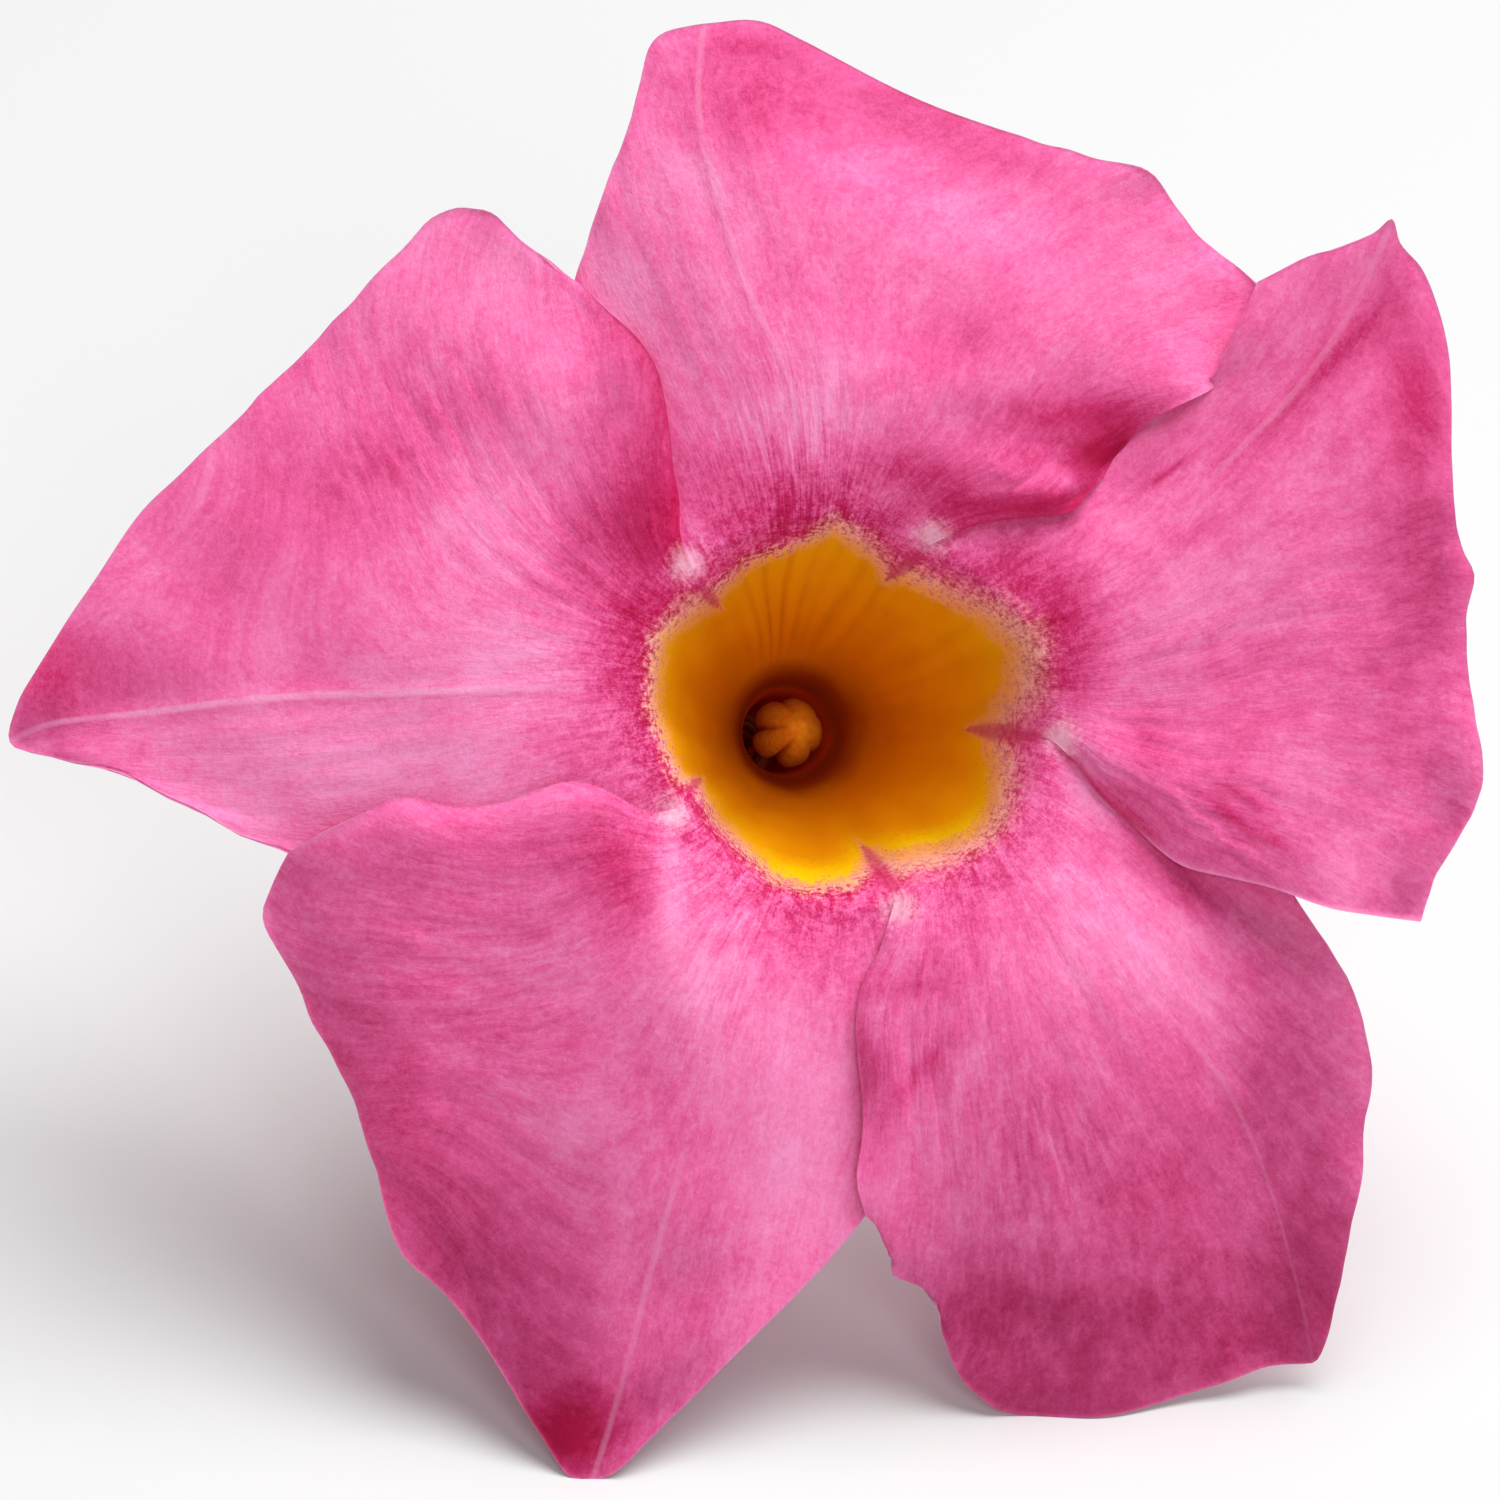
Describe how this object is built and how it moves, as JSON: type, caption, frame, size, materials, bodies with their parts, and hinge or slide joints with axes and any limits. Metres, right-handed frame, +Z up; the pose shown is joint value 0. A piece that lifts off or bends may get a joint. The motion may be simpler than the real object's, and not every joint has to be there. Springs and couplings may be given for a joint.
{
  "type": "mandevilla bloom",
  "caption": "Picked mandevilla bloom: broad pink pinwheel lobes round a golden funnel throat on a short cut stalk, lying on its side with its face turned up.",
  "frame": {"origin": "on the surface that the bloom lies on, below the middle of its bounding box", "axes": "+Z up from the surface; the bloom faces -Y and looks up by 34 degrees, with its stalk towards +Y; +X to the right as seen from its face"},
  "size_m": [0.0901, 0.0698, 0.0754],
  "materials": {
    "petal_pink": "matte",
    "petal_yellow": "matte",
    "anther": "matte",
    "style": "satin",
    "gland": "satin",
    "sepal": "satin",
    "stalk": "satin"
  },
  "bodies": {
    "root": {"corolla_limb": "petal_pink", "corolla_throat": "petal_yellow", "stamens": "anther", "pistil": "style", "nectary": "gland", "calyx": "sepal", "pedicel": "stalk"}
  },
  "joints": []
}
